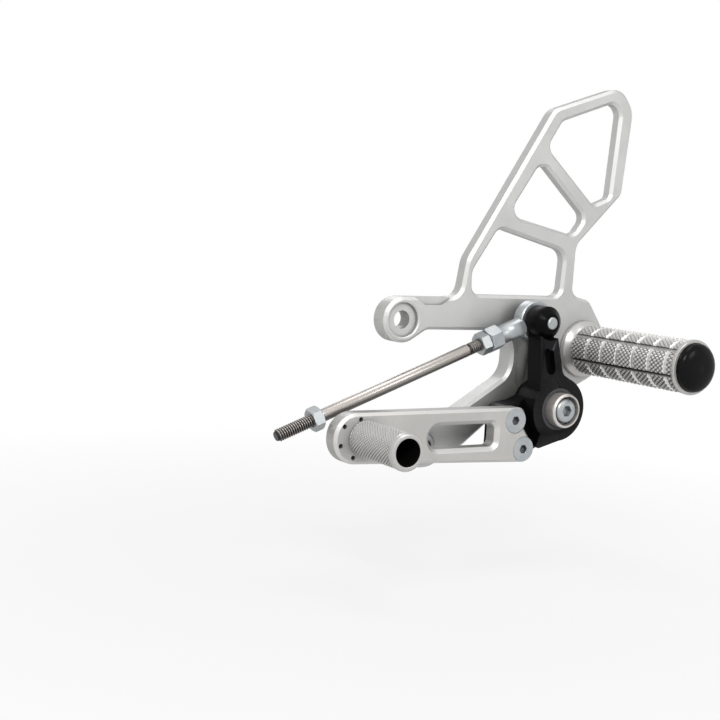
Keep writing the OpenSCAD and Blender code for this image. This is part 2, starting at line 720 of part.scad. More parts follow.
// The plain rod with its two threaded ends
module shift_rod() {
    tip_thread = rod_tip - nut_from_tip + 0.3;
    color([0.66, 0.64, 0.62])
    along_rod() {
        rotate([0, 90, 0]) rotate_extrude() polygon([
            [0, 14], [rod_r, 14], [rod_r, tip_thread], [rod_r - thread_slack, tip_thread + 0.2],
            [rod_r - thread_slack, rod_tip - 0.8], [rod_r - 0.8, rod_tip], [0, rod_tip]]);
    }
}

// A jam nut on the rod
module jam_nut(from) {
    tall = nut_flats / 2 + 0.9;
    color([0.68, 0.72, 0.75])
    along_rod() difference() {
        intersection() {
            translate([from, 0, 0]) rotate([0, 90, 0]) rotate([0, 0, 15]) cylinder(r = nut_flats / sqrt(3), h = nut_t, $fn = 6);
            translate([from, 0, 0]) rotate([0, 90, 0]) rotate_extrude() polygon([
                [0, 0], [nut_flats / 2, 0], [tall, 0.6], [tall, nut_t - 0.6], [nut_flats / 2, nut_t], [0, nut_t]]);
        }
        rod_bar(rod_r + thread_gap, from - eps, from + nut_t + eps);
    }
}
module upper_jam_nut() { jam_nut(rod_end_len); }
module lower_jam_nut() { jam_nut(rod_tip - nut_from_tip - nut_t); }

bracket();
foot_peg();
peg_bolt();
peg_end_cap();
pivot_collar();
pivot_screw();
pivot_spacer();
bearing_spacer();
front_inner_race();
rear_inner_race();
front_outer_race();
rear_outer_race();
front_balls();
rear_balls();
front_seal();
rear_seal();
lower_frame_bolt();
lower_frame_washer();
shift_hub();
lever_arm();
lever_screw_upper();
lever_screw_lower();
toe_peg();
toe_peg_screw();
toe_peg_pin();
rod_end();
rod_end_ball();
rod_end_bolt();
shift_rod();
upper_jam_nut();
lower_jam_nut();
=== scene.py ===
import bpy
import math
from mathutils import Matrix, Vector


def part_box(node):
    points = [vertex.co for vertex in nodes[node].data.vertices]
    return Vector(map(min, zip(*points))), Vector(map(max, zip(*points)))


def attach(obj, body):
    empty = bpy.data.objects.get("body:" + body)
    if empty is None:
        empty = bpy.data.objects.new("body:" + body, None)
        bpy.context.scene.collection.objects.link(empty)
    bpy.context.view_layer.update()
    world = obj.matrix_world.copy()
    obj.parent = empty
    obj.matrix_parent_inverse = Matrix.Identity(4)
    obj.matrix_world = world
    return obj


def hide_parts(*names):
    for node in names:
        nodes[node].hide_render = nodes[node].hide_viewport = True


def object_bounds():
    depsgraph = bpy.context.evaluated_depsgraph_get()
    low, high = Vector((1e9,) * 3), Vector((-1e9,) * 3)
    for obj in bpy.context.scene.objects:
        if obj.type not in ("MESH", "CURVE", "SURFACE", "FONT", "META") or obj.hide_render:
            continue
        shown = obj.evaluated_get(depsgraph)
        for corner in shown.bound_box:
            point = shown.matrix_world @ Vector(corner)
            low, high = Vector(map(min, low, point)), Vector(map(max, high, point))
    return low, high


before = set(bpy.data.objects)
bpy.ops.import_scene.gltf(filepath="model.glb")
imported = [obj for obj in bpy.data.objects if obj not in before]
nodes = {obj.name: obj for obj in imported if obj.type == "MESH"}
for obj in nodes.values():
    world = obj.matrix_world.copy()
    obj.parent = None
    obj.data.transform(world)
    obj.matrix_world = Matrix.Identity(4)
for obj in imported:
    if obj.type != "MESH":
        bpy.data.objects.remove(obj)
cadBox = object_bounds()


# camera, lights and floor

cameraView = {
    "location": (-0.3268, -0.5061, 0.0444),
    "direction": (0.5187, 0.8481, -0.1084),
    "roll": 3.27,       # degrees, the right side of the picture tips up
    "lens": 62.5,
    "sensor": 36.0,
}

studio = {
    "floorDrop": 0.050,     # floor below the part at rest, clear of the rod's tip at its lowest
    "floorSize": 6.0,
    "floorColor": (0.80, 0.80, 0.80, 1.0),
    "floorWhite": 0.80,     # how much the camera sees plain white instead of the lit floor near the part
    "floorNear": 0.14,      # distance from the origin up to which the shadow keeps its strength
    "floorFar": 0.42,       # distance at which the floor has turned plain white
    "skyColor": (0.74, 0.75, 0.77, 1.0),
    "skyStrength": 0.30,
    "lamps": [
        # name, place, size, watts, colour
        ("keyLamp", (-0.55, -0.95, 0.72), 0.42, 6.4, (1.0, 0.99, 0.97)),
        ("topLamp", (0.05, -0.15, 1.15), 0.60, 3.3, (1.0, 1.0, 1.0)),
        ("sideLamp", (0.38, -1.00, 0.46), 0.40, 1.8, (0.96, 0.98, 1.0)),
        ("backLamp", (0.35, 0.90, 0.50), 0.50, 1.8, (0.98, 0.99, 1.0)),
    ],
    "lampAim": (0.03, -0.02, 0.01),
}


def aimAt(thing, place, target):
    thing.location = place
    direction = Vector(target) - Vector(place)
    thing.rotation_euler = direction.to_track_quat("-Z", "Y").to_euler()


def addCamera():
    data = bpy.data.cameras.new("productCamera")
    camera = bpy.data.objects.new("productCamera", data)
    bpy.context.scene.collection.objects.link(camera)
    data.lens = cameraView["lens"]
    data.sensor_width = cameraView["sensor"]
    data.clip_start = 0.01
    turn = Vector(cameraView["direction"]).to_track_quat("-Z", "Y").to_matrix().to_4x4()
    roll = Matrix.Rotation(math.radians(cameraView["roll"]), 4, "Z")
    camera.matrix_world = Matrix.Translation(cameraView["location"]) @ turn @ roll
    bpy.context.scene.camera = camera


def addLamps():
    for name, place, size, watts, color in studio["lamps"]:
        data = bpy.data.lights.new(name, "AREA")
        data.shape = "DISK"
        data.size = size
        data.energy = watts
        data.color = color
        lamp = bpy.data.objects.new(name, data)
        bpy.context.scene.collection.objects.link(lamp)
        aimAt(lamp, place, studio["lampAim"])


def addSky():
    world = bpy.data.worlds.new("studioSky")
    bpy.context.scene.world = world
    world.use_nodes = True
    tree = world.node_tree
    tree.nodes.clear()
    path = tree.nodes.new("ShaderNodeLightPath")
    seen = tree.nodes.new("ShaderNodeMath")
    seen.operation = "MAXIMUM"
    seenThrough = tree.nodes.new("ShaderNodeMath")
    seenThrough.operation = "MAXIMUM"
    tree.links.new(path.outputs["Is Camera Ray"], seen.inputs[0])
    tree.links.new(path.outputs["Is Glossy Ray"], seen.inputs[1])
    tree.links.new(seen.outputs[0], seenThrough.inputs[0])
    tree.links.new(path.outputs["Is Transmission Ray"], seenThrough.inputs[1])
    soft = tree.nodes.new("ShaderNodeBackground")
    soft.inputs["Color"].default_value = studio["skyColor"]
    soft.inputs["Strength"].default_value = studio["skyStrength"]
    white = tree.nodes.new("ShaderNodeBackground")
    white.inputs["Color"].default_value = (1.0, 1.0, 1.0, 1.0)
    white.inputs["Strength"].default_value = 1.0
    mix = tree.nodes.new("ShaderNodeMixShader")
    out = tree.nodes.new("ShaderNodeOutputWorld")
    tree.links.new(seenThrough.outputs[0], mix.inputs[0])
    tree.links.new(soft.outputs[0], mix.inputs[1])
    tree.links.new(white.outputs[0], mix.inputs[2])
    tree.links.new(mix.outputs[0], out.inputs["Surface"])


def addFloor():
    low = cadBox[0][2] - studio["floorDrop"]
    half = studio["floorSize"] / 2
    mesh = bpy.data.meshes.new("studioFloor")
    corners = [(-half, -half, low), (half, -half, low), (half, half, low), (-half, half, low)]
    mesh.from_pydata(corners, [], [(0, 1, 2, 3)])
    floor = bpy.data.objects.new("studioFloor", mesh)
    bpy.context.scene.collection.objects.link(floor)
    material = bpy.data.materials.new("paleFloor")
    material.use_nodes = True
    tree = material.node_tree
    tree.nodes.clear()
    lit = tree.nodes.new("ShaderNodeBsdfDiffuse")
    lit.inputs["Color"].default_value = studio["floorColor"]
    white = tree.nodes.new("ShaderNodeEmission")
    white.inputs["Color"].default_value = (1.0, 1.0, 1.0, 1.0)
    white.inputs["Strength"].default_value = 1.0
    path = tree.nodes.new("ShaderNodeLightPath")
    seen = tree.nodes.new("ShaderNodeMath")
    seen.operation = "MAXIMUM"
    share = tree.nodes.new("ShaderNodeMath")
    share.operation = "MULTIPLY"
    place = tree.nodes.new("ShaderNodeTexCoord")
    away = tree.nodes.new("ShaderNodeVectorMath")
    away.operation = "LENGTH"
    fade = tree.nodes.new("ShaderNodeMapRange")
    fade.inputs["From Min"].default_value = studio["floorNear"]
    fade.inputs["From Max"].default_value = studio["floorFar"]
    fade.inputs["To Min"].default_value = studio["floorWhite"]
    fade.inputs["To Max"].default_value = 1.0
    mix = tree.nodes.new("ShaderNodeMixShader")
    out = tree.nodes.new("ShaderNodeOutputMaterial")
    tree.links.new(path.outputs["Is Camera Ray"], seen.inputs[0])
    tree.links.new(path.outputs["Is Glossy Ray"], seen.inputs[1])
    tree.links.new(place.outputs["Object"], away.inputs[0])
    tree.links.new(away.outputs["Value"], fade.inputs["Value"])
    tree.links.new(seen.outputs[0], share.inputs[0])
    tree.links.new(fade.outputs["Result"], share.inputs[1])
    tree.links.new(share.outputs[0], mix.inputs[0])
    tree.links.new(lit.outputs[0], mix.inputs[1])
    tree.links.new(white.outputs[0], mix.inputs[2])
    tree.links.new(mix.outputs[0], out.inputs["Surface"])
    mesh.materials.append(material)


addCamera()
addLamps()
addSky()
addFloor()
bpy.context.scene.view_settings.view_transform = "Standard"
print("camera, lamps and floor are set")


# shared shader effects, each built once as a node group

def newGroup(name, inputs, outputs):
    group = bpy.data.node_groups.new(name, "ShaderNodeTree")
    for label, kind, value in inputs:
        socket = group.interface.new_socket(name=label, in_out="INPUT", socket_type=kind)
        socket.default_value = value
    for label, kind in outputs:
        group.interface.new_socket(name=label, in_out="OUTPUT", socket_type=kind)
    start = group.nodes.new("NodeGroupInput")
    end = group.nodes.new("NodeGroupOutput")
    return group, start, end


def mathNode(tree, operation, first, second=None):
    node = tree.nodes.new("ShaderNodeMath")
    node.operation = operation
    for index, value in enumerate((first, second)):
        if value is None:
            continue
        if isinstance(value, (int, float)):
            node.inputs[index].default_value = value
        else:
            tree.links.new(value, node.inputs[index])
    return node.outputs[0]


def noiseNode(tree, vector, scale, detail, roughness=0.5):
    node = tree.nodes.new("ShaderNodeTexNoise")
    node.inputs["Detail"].default_value = detail
    node.inputs["Roughness"].default_value = roughness
    if isinstance(scale, (int, float)):
        node.inputs["Scale"].default_value = scale
    else:
        tree.links.new(scale, node.inputs["Scale"])
    tree.links.new(vector, node.inputs["Vector"])
    return node.outputs["Fac"]


# fine blasted or cast grain, with a broader unevenness under it
def buildGrain():
    group, start, end = newGroup(
        "surfaceGrain",
        [("Scale", "NodeSocketFloat", 2500.0), ("Broad Scale", "NodeSocketFloat", 60.0)],
        [("Grain", "NodeSocketFloat"), ("Broad", "NodeSocketFloat")],
    )
    place = group.nodes.new("ShaderNodeTexCoord")
    fine = noiseNode(group, place.outputs["Object"], start.outputs["Scale"], 3.0, 0.6)
    broad = noiseNode(group, place.outputs["Object"], start.outputs["Broad Scale"], 4.0, 0.55)
    group.links.new(fine, end.inputs["Grain"])
    group.links.new(broad, end.inputs["Broad"])
    return group


# lathe marks round an axis that points outwards: rings on faces, fine bands on cylinders
def buildTurnMarks():
    group, start, end = newGroup(
        "turningMarks",
        [
            ("Centre X", "NodeSocketFloat", 0.0),
            ("Centre Z", "NodeSocketFloat", 0.0),
            ("Scale", "NodeSocketFloat", 3000.0),
        ],
        [("Marks", "NodeSocketFloat")],
    )
    place = group.nodes.new("ShaderNodeTexCoord")
    parts = group.nodes.new("ShaderNodeSeparateXYZ")
    group.links.new(place.outputs["Object"], parts.inputs[0])
    dx = mathNode(group, "SUBTRACT", parts.outputs["X"], start.outputs["Centre X"])
    dz = mathNode(group, "SUBTRACT", parts.outputs["Z"], start.outputs["Centre Z"])
    squareX = mathNode(group, "MULTIPLY", dx, dx)
    squareZ = mathNode(group, "MULTIPLY", dz, dz)
    radius = mathNode(group, "SQRT", mathNode(group, "ADD", squareX, squareZ))
    along = mathNode(group, "ADD", radius, parts.outputs["Y"])
    line = group.nodes.new("ShaderNodeCombineXYZ")
    group.links.new(along, line.inputs["X"])
    marks = noiseNode(group, line.outputs[0], start.outputs["Scale"], 2.0, 0.7)
    group.links.new(marks, end.inputs["Marks"])
    return group


# bright cut on chamfers: faces that lean between the front and the side walls
def buildCutEdge():
    lean = math.cos(math.radians(45.0))     # how a plain chamfer faces the front
    group, start, end = newGroup(
        "cutEdge",
        [("Narrow", "NodeSocketFloat", 0.22)],
        [("Mask", "NodeSocketFloat")],
    )
    geometry = group.nodes.new("ShaderNodeNewGeometry")
    parts = group.nodes.new("ShaderNodeSeparateXYZ")
    group.links.new(geometry.outputs["True Normal"], parts.inputs[0])
    facing = mathNode(group, "ABSOLUTE", parts.outputs["Y"])
    away = mathNode(group, "ABSOLUTE", mathNode(group, "SUBTRACT", facing, lean))
    inside = mathNode(group, "LESS_THAN", away, start.outputs["Narrow"])
    group.links.new(inside, end.inputs["Mask"])
    return group


# lightened convex edges: partly real wear, partly painted highlight
def buildEdgeWearAndHighlight():
    sharpness = 14.0        # how fast the edge mark grows with the edge
    leastBreakup = 0.3
    group, start, end = newGroup(
        "edgeWearAndHighlight",
        [("Level", "NodeSocketFloat", 0.53), ("Breakup Scale", "NodeSocketFloat", 400.0)],
        [("Mask", "NodeSocketFloat")],
    )
    geometry = group.nodes.new("ShaderNodeNewGeometry")
    place = group.nodes.new("ShaderNodeTexCoord")
    breakup = noiseNode(group, place.outputs["Object"], start.outputs["Breakup Scale"], 3.0)
    raised = mathNode(group, "SUBTRACT", geometry.outputs["Pointiness"], start.outputs["Level"])
    strong = mathNode(group, "MULTIPLY", raised, sharpness)
    broken = mathNode(group, "MULTIPLY", strong, mathNode(group, "ADD", breakup, leastBreakup))
    clamp = group.nodes.new("ShaderNodeClamp")
    group.links.new(broken, clamp.inputs["Value"])
    group.links.new(clamp.outputs[0], end.inputs["Mask"])
    return group


surfaceGrain = buildGrain()
turningMarks = buildTurnMarks()
cutEdge = buildCutEdge()
edgeWearAndHighlight = buildEdgeWearAndHighlight()
print("shader groups are built")


# materials

def placeGroup(tree, group, values):
    node = tree.nodes.new("ShaderNodeGroup")
    node.node_tree = group
    for label, value in values.items():
        node.inputs[label].default_value = value
    return node


def rampNode(tree, value, low, high, lowColor, highColor):
    ramp = tree.nodes.new("ShaderNodeValToRGB")
    ramp.color_ramp.elements[0].position = low
    ramp.color_ramp.elements[1].position = high
    ramp.color_ramp.elements[0].color = lowColor
    ramp.color_ramp.elements[1].color = highColor
    tree.links.new(value, ramp.inputs[0])
    return ramp.outputs["Color"]


def spreadNode(tree, value, low, high, newLow, newHigh):
    node = tree.nodes.new("ShaderNodeMapRange")
    node.inputs["From Min"].default_value = low
    node.inputs["From Max"].default_value = high
    node.inputs["To Min"].default_value = newLow
    node.inputs["To Max"].default_value = newHigh
    tree.links.new(value, node.inputs["Value"])
    return node.outputs["Result"]


def mixColor(tree, share, first, second):
    node = tree.nodes.new("ShaderNodeMix")
    node.data_type = "RGBA"
    if isinstance(share, (int, float)):
        node.inputs[0].default_value = share
    else:
        tree.links.new(share, node.inputs[0])
    for index, value in ((6, first), (7, second)):
        if isinstance(value, tuple):
            node.inputs[index].default_value = value
        else:
            tree.links.new(value, node.inputs[index])
    return node.outputs[2]


def multiplyColor(tree, first, second):
    node = tree.nodes.new("ShaderNodeMix")
    node.data_type = "RGBA"
    node.blend_type = "MULTIPLY"
    node.inputs[0].default_value = 1.0
    tree.links.new(first, node.inputs[6])
    tree.links.new(second, node.inputs[7])
    return node.outputs[2]


def bumpNode(tree, height, distance, strength):
    node = tree.nodes.new("ShaderNodeBump")
    node.inputs["Strength"].default_value = strength
    node.inputs["Distance"].default_value = distance
    tree.links.new(height, node.inputs["Height"])
    return node.outputs["Normal"]


shadeRanges = {
    "rim": (0.35, 0.95),        # how far the surface turns away from the eye, 0 is face on
    "crest": (-1.0, -0.1),      # painted highlight mark
    "depth": (0.05, 0.9),       # painted shade mark
    "corner": (0.12, 0.78),     # how open a place is, 1 is fully open
    "cornerSamples": 8,
}


# painted dark reflection: darkens a colour where the surface turns away from the eye
def paintDarkRimReflection(tree, color, rimReflectionColor, amount):
    weight = tree.nodes.new("ShaderNodeLayerWeight")
    weight.inputs["Blend"].default_value = 0.5
    share = spreadNode(tree, weight.outputs["Facing"], *shadeRanges["rim"], 0.0, amount)
    return mixColor(tree, share, color, rimReflectionColor)


# a mesh made here marks painted shade from 0 to 1, in its depths and on its lower side, and painted
# highlights on its crests from 0 to -1, in a point attribute
def paintMarkedShadeAndHighlight(tree, color, depthShadeColor, crestHighlightColor):
    marked = tree.nodes.new("ShaderNodeAttribute")
    marked.attribute_name = "paintedLight"
    crest = spreadNode(tree, marked.outputs["Fac"], *shadeRanges["crest"], 1.0, 0.0)
    color = mixColor(tree, crest, color, crestHighlightColor)
    depth = spreadNode(tree, marked.outputs["Fac"], *shadeRanges["depth"], 0.0, 1.0)
    return mixColor(tree, depth, color, depthShadeColor)


# painted shade in sockets, holes and corners
def shadeCorners(tree, color, cornerColor, reach, amount):
    near = tree.nodes.new("ShaderNodeAmbientOcclusion")
    near.samples = shadeRanges["cornerSamples"]
    near.inputs["Distance"].default_value = reach
    share = spreadNode(tree, near.outputs["AO"], *shadeRanges["corner"], amount, 0.0)
    return mixColor(tree, share, color, cornerColor)


def grey(level):
    return (level, level, level, 1.0)


def newMaterial(name, metallic):
    material = bpy.data.materials.new(name)
    material.use_nodes = True
    shader = material.node_tree.nodes["Principled BSDF"]
    shader.inputs["Metallic"].default_value = metallic
    return material, material.node_tree, shader


blastedLook = {
    "color": (0.68, 0.68, 0.665, 1.0),
    "darkColor": (0.61, 0.61, 0.60, 1.0),
    "cutColor": (0.76, 0.76, 0.75, 1.0),
    "rimReflectionColor": (0.22, 0.22, 0.215, 1.0),
    "rimAmount": 0.75,
    "metallic": 0.45,
    "roughness": (0.38, 0.50),
    "roughSpread": (0.3, 0.7),
    "grainScale": 2600.0,
    "grainDepth": 0.00003,
    "bumpStrength": 0.5,
    "broadScale": 45.0,
    "broadSpread": (0.35, 0.65),
    "speckSpread": (0.35, 0.7),
    "speckLevels": (0.93, 1.0),
    "cutNarrow": 0.22,
    "cornerColor": (0.07, 0.07, 0.065, 1.0),
    "cornerReach": 0.022,
    "cornerAmount": 0.85,
}


def blastedMaterial(name, look):
    material, tree, shader = newMaterial(name, look["metallic"])
    grain = placeGroup(tree, surfaceGrain, {"Scale": look["grainScale"], "Broad Scale": look["broadScale"]})
    body = rampNode(tree, grain.outputs["Broad"], *look["broadSpread"], look["darkColor"], look["color"])
    speckDark, speckLight = look["speckLevels"]
    speck = rampNode(tree, grain.outputs["Grain"], *look["speckSpread"], grey(speckDark), grey(speckLight))
    body = multiplyColor(tree, body, speck)
    cut = placeGroup(tree, cutEdge, {"Narrow": look["cutNarrow"]})
    color = mixColor(tree, cut.outputs["Mask"], body, look["cutColor"])
    color = paintDarkRimReflection(tree, color, look["rimReflectionColor"], look["rimAmount"])
    color = shadeCorners(tree, color, look["cornerColor"], look["cornerReach"], look["cornerAmount"])
    tree.links.new(color, shader.inputs["Base Color"])
    rough = spreadNode(tree, grain.outputs["Broad"], *look["roughSpread"], *look["roughness"])
    tree.links.new(rough, shader.inputs["Roughness"])
    relief = bumpNode(tree, grain.outputs["Grain"], look["grainDepth"], look["bumpStrength"])
    tree.links.new(relief, shader.inputs["Normal"])
    return material


turnedLook = {
    "color": (0.74, 0.70, 0.67, 1.0),
    "darkColor": (0.60, 0.57, 0.55, 1.0),
    "rimReflectionColor": (0.30, 0.28, 0.27, 1.0),
    "rimAmount": 0.3,
    "depthShadeColor": (0.012, 0.011, 0.010, 1.0),
    "crestHighlightColor": (0.92, 0.92, 0.91, 1.0),
    "metallic": 0.6,
    "roughness": (0.34, 0.46),
    "markScale": 5200.0,
    "markSpread": (0.3, 0.7),
    "markDepth": 0.000008,
    "bumpStrength": 0.6,
}


def turnedMaterial(name, look, centre):
    material, tree, shader = newMaterial(name, look["metallic"])
    values = {"Centre X": centre[0], "Centre Z": centre[1], "Scale": look["markScale"]}
    marks = placeGroup(tree, turningMarks, values)
    color = rampNode(tree, marks.outputs["Marks"], *look["markSpread"], look["darkColor"], look["color"])
    color = paintDarkRimReflection(tree, color, look["rimReflectionColor"], look["rimAmount"])
    color = paintMarkedShadeAndHighlight(tree, color, look["depthShadeColor"], look["crestHighlightColor"])
    tree.links.new(color, shader.inputs["Base Color"])
    rough = spreadNode(tree, marks.outputs["Marks"], *look["markSpread"], *reversed(look["roughness"]))
    tree.links.new(rough, shader.inputs["Roughness"])
    relief = bumpNode(tree, marks.outputs["Marks"], look["markDepth"], look["bumpStrength"])
    tree.links.new(relief, shader.inputs["Normal"])
    return material


platedLook = {
    "color": (0.40, 0.43, 0.455, 1.0),
    "warmColor": (0.485, 0.50, 0.495, 1.0),
    "rimReflectionColor": (0.12, 0.13, 0.14, 1.0),
    "rimAmount": 0.6,
    "depthShadeColor": (0.03, 0.032, 0.035, 1.0),
    "crestHighlightColor": (0.8, 0.82, 0.84, 1.0),
    "cornerColor": (0.02, 0.025, 0.04, 1.0),
    "cornerReach": 0.004,
    "cornerAmount": 0.9,
    "metallic": 0.75,
    "roughness": (0.32, 0.44),
    "roughSpread": (0.3, 0.7),
    "grainScale": 3200.0,
    "grainDepth": 0.000008,
    "bumpStrength": 0.35,
    "broadScale": 220.0,
    "broadSpread": (0.35, 0.65),
}


def platedMaterial(name, look):
    material, tree, shader = newMaterial(name, look["metallic"])
    grain = placeGroup(tree, surfaceGrain, {"Scale": look["grainScale"], "Broad Scale": look["broadScale"]})
    color = rampNode(tree, grain.outputs["Broad"], *look["broadSpread"], look["color"], look["warmColor"])
    color = paintDarkRimReflection(tree, color, look["rimReflectionColor"], look["rimAmount"])
    color = shadeCorners(tree, color, look["cornerColor"], look["cornerReach"], look["cornerAmount"])
    color = paintMarkedShadeAndHighlight(tree, color, look["depthShadeColor"], look["crestHighlightColor"])
    tree.links.new(color, shader.inputs["Base Color"])
    rough = spreadNode(tree, grain.outputs["Broad"], *look["roughSpread"], *look["roughness"])
    tree.links.new(rough, shader.inputs["Roughness"])
    relief = bumpNode(tree, grain.outputs["Grain"], look["grainDepth"], look["bumpStrength"])
    tree.links.new(relief, shader.inputs["Normal"])
    return material


blackLook = {
    "color": (0.004, 0.004, 0.0045, 1.0),
    "dustColor": (0.006, 0.006, 0.0065, 1.0),
    "wearAndHighlightColor": (0.10, 0.10, 0.105, 1.0),
    "roughness": (0.26, 0.38),
    "roughSpread": (0.3, 0.7),
    "shine": 0.03,      # specular level, 0.5 is plain plastic
    "coat": 0.03,
    "coatRoughness": 0.08,
    "grainScale": 2400.0,
    "grainDepth": 0.000012,
    "bumpStrength": 0.25,
    "broadScale": 90.0,
    "broadSpread": (0.4, 0.8),
    "edgeMaskLevel": 0.53,
    "edgeMaskScale": 500.0,
}


def blackMaterial(name, look):
    material, tree, shader = newMaterial(name, 0.0)
    grain = placeGroup(tree, surfaceGrain, {"Scale": look["grainScale"], "Broad Scale": look["broadScale"]})
    wear = placeGroup(tree, edgeWearAndHighlight, {"Level": look["edgeMaskLevel"], "Breakup Scale": look["edgeMaskScale"]})
    body = rampNode(tree, grain.outputs["Broad"], *look["broadSpread"], look["color"], look["dustColor"])
    # lightened convex edges: partly real wear, partly painted highlight
    color = mixColor(tree, wear.outputs["Mask"], body, look["wearAndHighlightColor"])
    tree.links.new(color, shader.inputs["Base Color"])
    rough = spreadNode(tree, grain.outputs["Broad"], *look["roughSpread"], *look["roughness"])
    tree.links.new(rough, shader.inputs["Roughness"])
    shader.inputs["Coat Weight"].default_value = look["coat"]
    shader.inputs["Coat Roughness"].default_value = look["coatRoughness"]
    shader.inputs["Specular IOR Level"].default_value = look["shine"]
    relief = bumpNode(tree, grain.outputs["Grain"], look["grainDepth"], look["bumpStrength"])
    tree.links.new(relief, shader.inputs["Normal"])
    return material


# centres of the turned pieces, as (x, z)
places = {
    "pivot": (0.079, -0.0415),
    "peg": (0.112, -0.014),
    "toe": (-0.0333, -0.0515),
}

leverLook = dict(
    blastedLook,
    color=(0.62, 0.61, 0.59, 1.0),
    darkColor=(0.56, 0.55, 0.53, 1.0),
    cutColor=(0.74, 0.73, 0.71, 1.0),
)
pegLook = dict(
    turnedLook,
    color=(0.60, 0.59, 0.575, 1.0),
    darkColor=(0.52, 0.51, 0.495, 1.0),
    metallic=0.5,
    roughness=(0.26, 0.36),
)
rodLook = dict(
    turnedLook,
    color=(0.56, 0.52, 0.49, 1.0),
    darkColor=(0.46, 0.425, 0.40, 1.0),
    rimReflectionColor=(0.07, 0.06, 0.055, 1.0),
    rimAmount=0.9,
    metallic=0.5,
    roughness=(0.22, 0.30),
)
ballLook = dict(
    platedLook,
    color=(0.62, 0.63, 0.65, 1.0),
    warmColor=(0.66, 0.66, 0.66, 1.0),
    roughness=(0.08, 0.14),
)
capLook = dict(
    blackLook,
    wearAndHighlightColor=(0.02, 0.02, 0.02, 1.0),
    roughness=(0.22, 0.30),
    shine=0.06,
    coat=0.08,
)
sealLook = dict(
    blackLook,
    color=(0.008, 0.008, 0.008, 1.0),
    roughness=(0.55, 0.7),
    coat=0.0,
)

blastedAluminium = blastedMaterial("blastedAluminium", blastedLook)
leverAluminium = blastedMaterial("leverAluminium", leverLook)
brightPeg = turnedMaterial("brightPeg", pegLook, places["peg"])
brightToePeg = turnedMaterial("brightToePeg", pegLook, places["toe"])
turnedCollar = turnedMaterial("turnedCollar", turnedLook, places["pivot"])
drawnRod = turnedMaterial("drawnRod", rodLook, places["pivot"])
zincPlate = platedMaterial("zincPlate", platedLook)
polishedSteel = platedMaterial("polishedSteel", ballLook)
blackAnodised = blackMaterial("blackAnodised", blackLook)
glossCap = blackMaterial("glossCap", capLook)
sealRubber = blackMaterial("sealRubber", sealLook)
print("materials are mixed")


# the machined pieces as the CAD makes them, with softened edges where they show

cadFinish = {
    "weld": 0.000002,
    "flatAngle": 0.7,       # degrees
    "edgeAngle": 27.0,      # degrees
    "edgeSegments": 2,
    "neckRelief": 0.00003,  # keeps the rod end's neck clear of the crank when the rod hangs down
}


def dressNode(name, material, edge):
    piece = nodes[name]
    for slot in piece.material_slots:
        slot.material = material
    if edge <= 0:
        return
    weld = piece.modifiers.new("weldSeams", "WELD")
    weld.merge_threshold = cadFinish["weld"]
    flat = piece.modifiers.new("joinFlats", "DECIMATE")
    flat.decimate_type = "DISSOLVE"
    flat.angle_limit = math.radians(cadFinish["flatAngle"])
    soft = piece.modifiers.new("softEdges", "BEVEL")
    soft.width = edge
    soft.segments = cadFinish["edgeSegments"]
    soft.limit_method = "ANGLE"
    soft.angle_limit = math.radians(cadFinish["edgeAngle"])
    soft.harden_normals = True
    soft.use_clamp_overlap = True


dressedNodes = [
    # node, material, width of its softened edges
    ("bracket", blastedAluminium, 0.00018),
    ("peg_bolt", zincPlate, 0.0),
    ("pivot_collar", turnedCollar, 0.0001),
    ("pivot_screw", zincPlate, 0.0001),
    ("pivot_spacer", turnedCollar, 0.0),
    ("bearing_spacer", turnedCollar, 0.0),
    ("front_inner_race", polishedSteel, 0.0),
    ("rear_inner_race", polishedSteel, 0.0),
    ("front_outer_race", polishedSteel, 0.0),
    ("rear_outer_race", polishedSteel, 0.0),
    ("front_balls", polishedSteel, 0.0),
    ("rear_balls", polishedSteel, 0.0),
    ("front_seal", sealRubber, 0.0),
    ("rear_seal", sealRubber, 0.0),
    ("lower_frame_bolt", zincPlate, 0.0001),
    ("lower_frame_washer", zincPlate, 0.0001),
    ("shift_hub", blackAnodised, 0.0004),
    ("lever_arm", leverAluminium, 0.00018),
    ("lever_screw_upper", zincPlate, 0.0001),
    ("lever_screw_lower", zincPlate, 0.0001),
    ("toe_peg_screw", zincPlate, 0.0),
    ("toe_peg_pin", polishedSteel, 0.0),
    ("rod_end", zincPlate, 0.00025),
    ("rod_end_ball", polishedSteel, 0.0),
    ("rod_end_bolt", zincPlate, 0.0001),
    ("upper_jam_nut", zincPlate, 0.00015),
    ("lower_jam_nut", zincPlate, 0.00015),
]
for nodeName, nodeMaterial, nodeEdge in dressedNodes:
    dressNode(nodeName, nodeMaterial, nodeEdge)

neckRelief = nodes["rod_end"].modifiers.new("neckRelief", "DISPLACE")
neckRelief.strength = -cadFinish["neckRelief"]
neckRelief.mid_level = 0.0
print("machined pieces are dressed")


# meshes made here

def addPiece(name, points, faces, paintedLightMarks, material, body, smoothAngle):
    mesh = bpy.data.meshes.new(name)
    mesh.from_pydata(points, [], faces)
    # the marks of painted shade and painted highlight go into a point attribute
    paintedLight = mesh.attributes.new("paintedLight", "FLOAT", "POINT")
    paintedLight.data.foreach_set("value", paintedLightMarks)
    mesh.validate()
    mesh.polygons.foreach_set("use_smooth", [True] * len(mesh.polygons))
    mesh.set_sharp_from_angle(angle=math.radians(smoothAngle))
    mesh.materials.append(material)
    piece = bpy.data.objects.new(name, mesh)
    bpy.context.scene.collection.objects.link(piece)
    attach(piece, body)
    return piece


